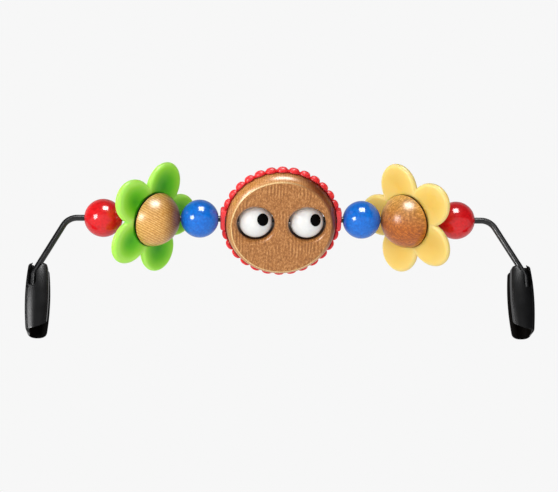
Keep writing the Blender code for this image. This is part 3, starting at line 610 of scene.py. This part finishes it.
def flower(colour, side, wood, rubber):
    """Wooden ball in two halves with the petal moulding between them."""
    name = "flower_" + colour
    at = spindle(side * FLOWER_X, FLOWER_SPIN[colour])
    front, back = at @ facing(-side * FLOWER_TURN), at @ facing(180 - side * FLOWER_TURN)
    for half, place in (("front", front), ("back", back)):
        node = "%s_ball_%s" % (name, half)
        piece = half_ball(node + "_turned", place,
                          lambda: bore_shape(at, BEAD_BORE, BALL_RADIUS + MM), wood)
        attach(piece, name)
        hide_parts(node)
    petals = petal_ring(name + "_moulding", PETAL_PHASE[colour], front, rubber)
    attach(petals, name)
    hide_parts(name + "_petals")


# Face

def window_shape(place):
    """Closed shape that cuts a round window with lips rounded by arcs at both faces."""
    wide = EYE_WINDOW + WINDOW_LIP + MM
    high = FACE_HALF + MM
    top = arc(WINDOW_LIP, 90, 180, 10, (EYE_WINDOW + WINDOW_LIP, FACE_HALF - WINDOW_LIP))
    profile = np.concatenate([[[0, high], [wide, high], [wide, FACE_HALF]], top,
                              [[EYE_WINDOW, WINDOW_DARK], [EYE_WINDOW, -WINDOW_DARK]],
                              (top * [1, -1])[::-1],
                              [[wide, -FACE_HALF], [wide, -high], [0, -high]]])
    steps = 96
    shape = turned_solid("window", profile, steps, dowel_beech, place)
    # painted shade: between the lips the wall is dark from below to just above its middle, and outlines the
    # ball
    near = 0.01 * MM
    inner = (profile[1:-1, 0] < EYE_WINDOW + near) & (np.abs(profile[1:-1, 1]) < WINDOW_DARK + near)
    highest = 0.2
    under = np.sin(2 * pi * (np.arange(steps) + 0.5) / steps) < highest
    wall = ((inner[1:] & inner[:-1])[:, None] & under[None, :]).ravel()
    return dark_inside(shape, np.concatenate([wall, np.zeros(2 * steps)]))


def half_face(name, place, windows, bore):
    """Half of the wooden disc: flat, broad rounded edge, seam, rebate for the ring's web."""
    lean = radians(FACE_CREASE)
    bend = (FACE_RADIUS - FACE_ROUND, FACE_HALF - FACE_ROUND * sin(lean))
    rim = arc(FACE_ROUND, FACE_CREASE, 0, 24, bend)
    crease = arc(CREASE_RADIUS, 90, FACE_CREASE, 5, rim[0] - CREASE_RADIUS * np.array([cos(lean), sin(lean)]))
    rim = np.concatenate([crease, rim[1:]])
    seat, soft = RING_WEB_HALF + SEAM, 0.4 * MM
    ease = arc(soft, 0, -90, 5, (FACE_RADIUS - soft, seat + soft))
    rebate = RING_INNER - SEAM
    profile = np.concatenate([[[0, FACE_HALF]], rim, ease,
                              [[rebate, seat], [rebate, SEAM / 2], [0, SEAM / 2]]])
    steps = 192
    piece = turned_solid(name, profile, steps, face_beech, place)
    for wood in (window_shade_beech, bevel_beech, crease_highlight_beech):
        piece.data.materials.append(wood)
    # the rounded edge is lighter, partly its long grain and partly painted light, and its crease is a pale
    # line of painted highlight
    middle = (profile[2:-1] + profile[1:-2]) / 2
    turn_r = bend[0] + FACE_ROUND * cos(lean)
    flat_slot, bevel_slot, crease_slot = 0, 2, 3
    kind = np.where(middle[:, 0] > turn_r, bevel_slot, flat_slot)
    kind[(np.abs(middle[:, 0] - turn_r) < 0.5 * MM) & (middle[:, 1] > FACE_HALF - MM)] = crease_slot
    index = np.concatenate([np.repeat(kind, steps), np.zeros(2 * steps)])
    piece.data.polygons.foreach_set("material_index", index.astype(np.int32))
    for shape in windows() + [bore()]:
        cut(piece, shape)
    crisp(piece)
    return piece


def ring_outline():
    """Angle, bump share and whether it is a pad, of each section of the soft ring, as arrays.

    The share runs from 0 to 1 over each bump; pads take the place of bumps at both sides.
    """
    low = asin((FACE_OFFSET - PAD_HALF_HEIGHT) / FACE_RADIUS)
    high = asin((FACE_OFFSET + PAD_HALF_HEIGHT) / FACE_RADIUS)
    per_bump, per_pad = 16, 40
    angles, shares, pads = [], [], []
    for start, end in ((low, high), (pi - high, pi - low)):
        a = np.linspace(start, end, per_pad + 2)[1:-1]
        angles.append(a)
        shares.append(np.zeros(per_pad))
        pads.append(np.ones(per_pad))
        over, under = (high, pi - high) if start == low else (pi - low, 2 * pi + low)
        a = np.linspace(over, under, BUMPS_PER_ARC * per_bump + 1)
        share = np.linspace(0, BUMPS_PER_ARC, len(a)) % 1.0
        angles.append(a)
        shares.append(share)
        pads.append(np.zeros(len(a)))
    return np.concatenate(angles), np.concatenate(shares), np.concatenate(pads)


def face_ring(place, bore):
    """Soft ring of swellings, half = R (1 - across^power)^(1 / power), and two pads.

    Each pad is a rounded block whose outer face is square to the wire.
    """
    angle, share, pad = ring_outline()
    across = np.abs(share - 0.5) * 2
    half = BUMP_RADIUS * (1 - across ** BUMP_POWER) ** (1 / BUMP_POWER)
    half = np.maximum(half, RING_LEAST_HALF)
    turn = np.linspace(1, -1, 21)[None, :]
    lift = np.arccos(np.clip(RING_GROOVE / half, -1, 0.98))[:, None]
    bump_r = FACE_RADIUS + half[:, None] * np.cos(lift * turn)
    bump_z = BUMP_DEPTH_SHARE * half[:, None] * np.sin(lift * turn)
    # a pad: a flat top with corners rounded along both ways
    height = FACE_RADIUS * np.sin(angle) - FACE_OFFSET
    fall = np.clip(1 - (np.abs(height) / PAD_HALF_HEIGHT) ** 8, 0, 1)
    reach = FACE_RADIUS + (PAD_X / np.maximum(np.abs(np.cos(angle)), 0.5) - FACE_RADIUS) * fall ** 0.3
    power = 0.35
    side = np.sign(turn) * np.abs(np.sin(pi / 2 * turn)) ** power
    front = np.abs(np.cos(pi / 2 * turn)) ** power
    thick = (RING_LEAST_HALF + (PAD_HALF_THICK - RING_LEAST_HALF) * fall ** 0.3)[:, None]
    step = FACE_RADIUS + RING_GROOVE
    pad_r = step + (reach[:, None] - step) * front
    pad_z = thick * side
    is_pad = pad[:, None] > 0.5
    outer_r, outer_z = np.where(is_pad, pad_r, bump_r), np.where(is_pad, pad_z, bump_z)
    flat = np.ones((len(angle), 1))
    r = np.concatenate([flat * [RING_INNER, RING_INNER, step], outer_r, flat * step], axis=1)
    z = np.concatenate([flat * [-RING_WEB_HALF, RING_WEB_HALF, RING_WEB_HALF], outer_z,
                        flat * -RING_WEB_HALF], axis=1)
    # painted shade: the bumps darken towards the groove beside the wood; the pads take the lightest colour
    # all over
    shade_share = np.where(is_pad, 1.0, np.abs(np.cos(pi / 2 * turn)) ** 0.5)
    rim = np.concatenate([flat * [0, 0, 0], shade_share, flat * 0], axis=1)
    points = np.stack([r * np.cos(angle)[:, None], r * np.sin(angle)[:, None], z], axis=2)
    piece = add_piece("face_ring_moulding", points, [quads(len(angle), r.shape[1], True, True)],
                      red_rubber, place)
    keep_rim_share(piece, rim)
    cut(piece, bore())
    crisp(piece, 40)
    return piece


def face():
    """Wooden disc in two halves with the soft ring between them and a window for each eye."""
    at = spindle(0.0, FACE_SPIN)
    middle = at @ Matrix.Translation((0, 0, -FACE_OFFSET))
    bore = lambda: bore_shape(at, BEAD_BORE, PAD_X + MM)
    windows = lambda: [window_shape(at @ Matrix.Translation((x, 0, 0)) @ facing(0))
                       for x in (-EYE_X, EYE_X)]
    for node, turn in (("face_front", 0), ("face_back", 180)):
        piece = half_face(node + "_turned", middle @ facing(turn), windows, bore)
        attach(piece, "face")
        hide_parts(node)
    ring = face_ring(middle @ facing(0), bore)
    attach(ring, "face")
    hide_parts("face_ring")


# Wire

def rounded_path(corners, radii, steps):
    """Straight runs joined by arcs that touch them, as rows of (x, z)."""
    path = [corners[0]]
    for before, corner, after, radius in zip(corners, corners[1:], corners[2:], radii):
        into, out = (corner - before), (after - corner)
        into, out = into / np.linalg.norm(into), out / np.linalg.norm(out)
        turn = acos(np.clip(into @ out, -1, 1))
        side = np.array([-into[1], into[0]])
        side = side if side @ out > 0 else -side
        start = corner - into * radius * tan(turn / 2)
        a = np.linspace(0, turn, steps)[:, None]
        path.extend(start + side * radius * (1 - np.cos(a)) + into * radius * np.sin(a))
    path.append(corners[-1])
    return np.array(path)


def wire():
    """Round wire: a circle carried along the path, square to it, with rounded ends."""
    bottom = -(BAR_Z - CLIP_HALF + SLOT_DEPTH + SOCKET_DEPTH)
    right = np.array([[0, 0], [BAR_HALF, 0], [WIRE_END_X, -ARM_DROP], [WIRE_END_X, bottom]])
    half = rounded_path(right, WIRE_BENDS, 20)
    path = np.concatenate([(half * [-1, 1])[:0:-1], half])
    tangent = np.gradient(path, axis=0)
    tangent /= np.linalg.norm(tangent, axis=1, keepdims=True)
    up = np.stack([-tangent[:, 1], tangent[:, 0]], axis=1)
    steps = 48
    a = np.linspace(0, 2 * pi, steps, endpoint=False)
    ring_in = path[:, None, :] + WIRE_RADIUS * np.cos(a)[None, :, None] * up[:, None, :]
    depth = np.broadcast_to(-WIRE_RADIUS * np.sin(a), ring_in.shape[:2])
    grid = np.stack([ring_in[..., 0], depth, ring_in[..., 1]], axis=2)
    ends = np.array([[path[0, 0], 0, path[0, 1]], [path[-1, 0], 0, path[-1, 1]]])
    rows, count = len(path), len(path) * steps
    faces = [quads(rows, steps, False, True), fan(count, np.arange(steps), True),
             fan(count + 1, np.arange(steps) + (rows - 1) * steps, False)]
    piece = add_piece("wire_drawn", np.concatenate([grid.reshape(-1, 3), ends]), faces, wire_coat,
                      Matrix.Translation((0, BAR_Y, BAR_Z)))
    crisp(piece, 50)
    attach(piece, "frame")
    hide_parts("wire")


# Clips

def rounded_outline(corners, radii, count=6):
    """Closed outline with each corner rounded by an arc that touches both its edges."""
    corners = np.asarray(corners, dtype=float)
    points = []
    for i, radius in enumerate(radii):
        corner = corners[i]
        back = corners[i - 1] - corner
        ahead = corners[(i + 1) % len(corners)] - corner
        back_length, ahead_length = np.linalg.norm(back), np.linalg.norm(ahead)
        back, ahead = back / back_length, ahead / ahead_length
        inner = acos(np.clip(back @ ahead, -1, 1))
        reach = min(radius / tan(inner / 2), 0.45 * back_length, 0.45 * ahead_length)
        radius = reach * tan(inner / 2)
        if radius < 1e-7:
            points.append(np.repeat(corner[None], count, axis=0))
            continue
        middle = corner + (back + ahead) / np.linalg.norm(back + ahead) * radius / sin(inner / 2)
        first, last = corner + back * reach - middle, corner + ahead * reach - middle
        sweep = (atan2(last[1], last[0]) - atan2(first[1], first[0]) + pi) % (2 * pi) - pi
        a = atan2(first[1], first[0]) + np.linspace(0, sweep, count)
        points.append(middle + radius * np.stack([np.cos(a), np.sin(a)], axis=1))
    return np.concatenate(points)


def clip_section(half_width, shrink, height):
    """Outline of a clip from above, mouth side at -x.

    The raised front panel is a parabola across and leans forward at its top,
    y = front + bow (x / w)^2 - lean sin(pi z / 2h) + belly (z / h)^2, with a step down to the
    outer flank and a thin step at the mouth.
    """
    w = half_width
    front, back = CLIP_FRONT + shrink, CLIP_BACK - shrink
    step = min(PANEL_STEP, PANEL_STEP_SHARE * w)
    front -= CLIP_LEAN * sin(pi / 2 * height / CLIP_HALF) - CLIP_BELLY * (height / CLIP_HALF) ** 2
    across = np.linspace(-w + PANEL_EDGE, w - step, 8)
    panel = np.column_stack([across, front - PANEL_PROUD + CLIP_BOW * (across / w) ** 2])
    left_foot = (-w + MOUTH_FOOT[0], panel[0, 1] + MOUTH_FOOT[1])
    right_foot = (w - step + FLANK_FOOT[0], panel[-1, 1] + FLANK_FOOT[1])
    corners = [(-w, panel[0, 1] + MOUTH_BACK), left_foot, *panel, right_foot,
               (w, panel[-1, 1] + FLANK_BACK), (w, back), (-w, back)]
    radii = [*MOUTH_CORNERS, *[PANEL_BEND] * 6, *FLANK_CORNERS]
    return rounded_outline(corners, radii, 5)


def clip_heights():
    """Heights along a clip with how far its ends are drawn in, as quarter circles."""
    a = np.linspace(pi / 2, 0, 12)
    drop, draw = 1 - np.sin(a), 1 - np.cos(a)
    top = np.stack([CLIP_HALF - CLIP_TOP_NOSE * drop, CLIP_TOP_NOSE * draw], axis=1)
    low = np.stack([-CLIP_HALF + CLIP_LOW_NOSE * drop, CLIP_LOW_NOSE * draw], axis=1)[::-1]
    middle = np.linspace(top[-1, 0], low[0, 0], 42)[1:-1]
    return np.concatenate([top, np.stack([middle, 0 * middle], axis=1), low])


def clip(side_name, side):
    """Snap clip: a barrel-shaped loft; channel, mouth, slot, socket and lead-in are cut."""
    sections = []
    for height, inset in clip_heights():
        share = (height / CLIP_HALF) ** 2
        half_width = CLIP_MID_HALF - (CLIP_MID_HALF - CLIP_END_HALF) * share - inset
        outline = clip_section(half_width, inset * 0.6, height)
        sections.append(np.column_stack([outline, np.full(len(outline), height)]))
    grid = np.stack(sections)
    rows, columns = grid.shape[:2]
    ends = [np.arange(columns)[None, :], (np.arange(columns) + (rows - 1) * columns)[None, ::-1]]
    place = Matrix.Translation((side * CLIP_X, 0, 0))
    piece = add_piece("clip_%s_moulding" % side_name, grid.reshape(-1, 3) * [side, 1, 1],
                      [quads(rows, columns, False, True)] + ends, clip_abs, place)
    # painted shade: the insides of the channel, mouth, slot, socket and lead-in get near black
    piece.data.materials.append(painted_shade_black)
    for shape in (channel_shape(side), slot_shape(side), socket_shape(side), lead_in_shape(side)):
        cut(piece, dark_inside(shape))
    cut(piece, scoop_shape(side))
    crisp(piece, 35)
    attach(piece, "frame")
    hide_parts("clip_" + side_name)


def channel_shape(side):
    """Channel for the side tube with its mouth, whose lips flare out in a smooth curve."""
    meet = sqrt(CHANNEL_RADIUS ** 2 - MOUTH_HALF ** 2)
    angle = degrees(atan2(MOUTH_HALF, meet))
    round_part = arc(CHANNEL_RADIUS, 180 - angle, angle - 180, 60)
    out = np.linspace(0, 1, 12)[1:]
    lip_x = -meet - (CLIP_MID_HALF + OVERRUN - meet) * out
    lip_y = MOUTH_HALF + LIP_FLARE * np.clip(out - LIP_STRAIGHT_SHARE, 0, 1) ** LIP_POWER
    near = np.stack([lip_x, -lip_y], axis=1)
    outline = np.concatenate([round_part, near, (near * [1, -1])[::-1]]) * [side, 1]
    n = len(outline)
    reach = CLIP_HALF + OVERRUN
    points = np.concatenate([np.column_stack([outline, np.full(n, z)]) for z in (-reach, reach)])
    faces = [quads(2, n, False, True), np.arange(n)[None, ::-1], (np.arange(n) + n)[None]]
    return add_piece("channel", points, faces, clip_abs, Matrix.Translation((side * CLIP_X, 0, 0)))


def extruded(name, outline, low, high, place):
    """Closed slab between two depths, from an outline of (x, z) points."""
    outline = np.asarray(outline)
    n = len(outline)
    near = np.column_stack([outline[:, 0], np.full(n, low), outline[:, 1]])
    far = np.column_stack([outline[:, 0], np.full(n, high), outline[:, 1]])
    faces = [quads(2, n, False, True), np.arange(n)[None], (np.arange(n) + n)[None, ::-1]]
    return add_piece(name, np.concatenate([near, far]), faces, clip_abs, place)


def slot_shape(side):
    """Slot that follows the wire: upright below the bend, slanted with the arm above it."""
    half = WIRE_RADIUS + SLOT_PLAY
    x = side * (WIRE_END_X - CLIP_X)
    low, bend, top = CLIP_HALF - SLOT_DEPTH, BAR_Z - ARM_DROP, CLIP_HALF + OVERRUN
    lean = (WIRE_END_X - BAR_HALF) / ARM_DROP
    wide = half * sqrt(1 + lean ** 2) + SLOT_FLARE
    slant = -side * lean * (top - bend)
    upper = [[x - half, bend], [x - wide + slant, top], [x + wide + slant, top], [x + half, bend]]
    outline = np.concatenate([upper, arc(half, 0, -180, 14, (x, low + half))])
    return extruded("slot", outline, CLIP_FRONT - FRONT_OVERRUN, SLOT_END_Y,
                    Matrix.Translation((side * CLIP_X, 0, 0)))


def scoop_shape(side):
    """Hollow round the slot's lower end, a ball stretched upwards, that bares the wire."""
    lift = arc(1.0, 90, -90, 24)
    lift[[0, -1], 0] = 0
    place = Matrix.Translation((side * (WIRE_END_X - CLIP_X - SCOOP_INWARD), CLIP_FRONT - SCOOP_OUT,
                                CLIP_HALF - SLOT_DEPTH + SCOOP_RISE))
    return turned_solid("scoop", lift * [SCOOP_WIDE, SCOOP_HIGH], 48, clip_abs, place)


def socket_shape(side):
    """Round socket for the wire's upright end, from the clip's top down."""
    depth = SLOT_DEPTH + SOCKET_DEPTH + SEAM
    profile = np.array([[0, depth / 2], [BEAD_BORE, depth / 2], [BEAD_BORE, -depth / 2], [0, -depth / 2]])
    return turned_solid("socket", profile, 40, clip_abs,
                        Matrix.Translation((side * WIRE_END_X, BAR_Y, CLIP_HALF - depth / 2)))


def lead_in_shape(side):
    """Curved wedge under the front wall that rises towards the mouth and slants inwards."""
    x = np.linspace(*LEAD_IN_SPAN_SHARES, 20) * CLIP_END_HALF
    rise = LEAD_IN_RISE * np.clip((1 - x / CLIP_END_HALF) / 2, 0, LEAD_IN_MOST_SHARE) ** LEAD_IN_POWER
    edge = np.column_stack([side * x, -CLIP_HALF - LEAD_IN_BELOW + rise])
    low = -CLIP_HALF - LOW_OVERRUN
    outline = np.concatenate([edge, [[edge[-1, 0], low], [edge[0, 0], low]]])
    slant = tan(radians(LEAD_IN_SLANT))
    inwards = Matrix.Identity(4)
    inwards[2][1] = slant
    place = Matrix.Translation((side * CLIP_X, 0, -CLIP_FRONT * slant)) @ inwards
    return extruded("lead_in", outline, CLIP_FRONT - FRONT_OVERRUN, LEAD_IN_END_Y, place)


# Stage, camera and light

def add_camera():
    """Camera at the photograph's angle: from below, a little to the left, slightly rolled."""
    pitch, yaw, roll = radians(CAMERA_PITCH), radians(CAMERA_YAW), radians(CAMERA_ROLL)
    right = Vector((cos(yaw), -sin(yaw), 0))
    level = Vector((sin(yaw), cos(yaw), 0))
    forward = level * cos(pitch) + Vector((0, 0, sin(pitch)))
    up = right.cross(forward)
    side = (BAR_CENTRE_PIXEL - PHOTO_WIDTH / 2) * METRES_PER_PIXEL
    place = Vector((0, BAR_Y, BAR_Z)) - forward * CAMERA_DISTANCE - up * CAMERA_BELOW - right * side
    right, up = right * cos(roll) - up * sin(roll), right * sin(roll) + up * cos(roll)
    data = bpy.data.cameras.new("photo_camera")
    data.sensor_fit, data.sensor_width = "HORIZONTAL", 36.0
    data.lens = CAMERA_DISTANCE / METRES_PER_PIXEL / PHOTO_WIDTH * data.sensor_width
    data.clip_start, data.clip_end = 0.05, 30.0
    camera = bpy.data.objects.new("photo_camera", data)
    camera.matrix_world = Matrix.Translation(place) @ Matrix((right, up, -forward)).transposed().to_4x4()
    bpy.context.scene.collection.objects.link(camera)
    bpy.context.scene.camera = camera
    return right, up, forward


def add_lamp(name, direction, distance, size, power, aim, diffuse=True, glossy=True):
    """Square soft box that looks at the bar from a direction; it lights or is mirrored."""
    data = bpy.data.lights.new(name, "AREA")
    data.shape, data.size, data.energy = "SQUARE", size, power
    lamp = bpy.data.objects.new(name, data)
    place = aim + direction.normalized() * distance
    lamp.matrix_world = Matrix.Translation(place) @ (-direction).to_track_quat("-Z", "Y").to_matrix().to_4x4()
    lamp.visible_camera, lamp.visible_diffuse, lamp.visible_glossy = False, diffuse, glossy
    bpy.context.scene.collection.objects.link(lamp)


def add_world(right, up, forward):
    """Pale backdrop where it shows or mirrors, and a plain grey fill on the object."""
    world = bpy.data.worlds.new("studio")
    bpy.context.scene.world = world
    world.use_nodes = True
    tree = world.node_tree
    tree.nodes.clear()
    ray = add_node(tree, "ShaderNodeLightPath").outputs
    look = add_node(tree, "ShaderNodeTexCoord").outputs["Generated"]
    # mirrored: the pale table from below, a dim room above
    height = calc(tree, "MULTIPLY_ADD", dot(tree, look, up), 0.5, 0.5)
    mirrored = ramp(tree, height, (0.36, "E6E6E6"), (0.43, "404042"), (0.75, "202022"))
    seen = calc(tree, "MAXIMUM", ray["Is Camera Ray"], ray["Is Transmission Ray"])
    # the room is brighter on the left
    level = remap(tree, dot(tree, look, right), -0.8, 0.8, 0.50, 0.15)
    # the white backdrop stands behind the object and lights its back and its rims
    behind = remap(tree, dot(tree, look, forward), 0.2, 0.7, 0.0, 0.9)
    both = calc(tree, "MAXIMUM", level, behind)
    rims = calc(tree, "MULTIPLY", behind, 0.6)
    reflected = add_node(tree, "ShaderNodeMix", {"Factor": rims, 6: mirrored, 7: linear("E6E6E6")},
                         data_type="RGBA")
    lights = ((linear("FFFFFF"), both), (reflected.outputs[2], 1.0), (linear("F7F7F7"), 1.0))
    fill, mirror, pale = [
        add_node(tree, "ShaderNodeBackground", {"Color": colour, "Strength": strength}).outputs[0]
        for colour, strength in lights]
    first = add_node(tree, "ShaderNodeMixShader", {0: ray["Is Glossy Ray"], 1: fill, 2: mirror})
    last = add_node(tree, "ShaderNodeMixShader", {0: seen, 1: first.outputs[0], 2: pale})
    add_node(tree, "ShaderNodeOutputWorld", {"Surface": last.outputs[0]})


def add_floor():
    """Plain pale floor well below the camera."""
    material, _, shader, _ = new_material("matt_white_floor", Roughness=0.9)
    shader.inputs["Base Color"].default_value = linear("F4F4F4")
    # the sheet glows a little, as lit from behind, so that it stays pale away from the lamps
    shader.inputs["Emission Color"].default_value = linear("F7F7F7")
    shader.inputs["Emission Strength"].default_value = 0.2
    reach, drop = 25.0, 1.5
    points = np.array([[-reach, -reach, -drop], [reach, -reach, -drop],
                       [reach, reach, -drop], [-reach, reach, -drop]])
    floor = add_piece("floor", points, [np.array([[0, 1, 2, 3]])], material)


for side_name, side in (("left", -1), ("right", 1)):
    clip(side_name, side)
    bead("bead_red_" + side_name, side * RED_X, red_paint)
    bead("bead_blue_" + side_name, side * BLUE_X, blue_paint)
    eye(side_name, side)
wire()
flower("green", -1, light_beech, green_rubber)
flower("yellow", 1, amber_beech, yellow_rubber)
face()
for name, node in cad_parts.items():
    if "dowel" in name:
        for slot in node.material_slots:
            slot.material = dowel_beech

right, up, forward = add_camera()
aim = Vector((0, BAR_Y, BAR_Z))
toward = -forward
above = right * 0.10 + up * 0.88 + toward * 0.46
high = up * 0.70 + toward * 0.70
beside = right * -0.72 + up * 0.10 + toward * 0.69
rear = right * -0.90 + up * 0.25 + toward * -0.35
add_lamp("soft_box_above", high, 1.0, 0.60, 2.4, aim, glossy=False)
add_lamp("soft_box_left", beside, 1.1, 0.50, 4.2, aim, glossy=False)
add_lamp("front_fill", up * 0.15 + toward * 0.99, 1.3, 1.40, 6.0, aim, glossy=False)
add_lamp("table_glow", -up, 1.0, 1.20, 0.6, aim, glossy=False)
add_lamp("rim_left", rear, 1.0, 0.60, 5.0, aim, glossy=False)
add_lamp("glint_above", above, 0.95, 0.46, 16.0, aim, diffuse=False)
add_lamp("glint_left", beside, 1.0, 0.34, 7.0, aim, diffuse=False)
add_world(right, up, forward)
add_floor()
bpy.context.scene.view_settings.view_transform = "Standard"
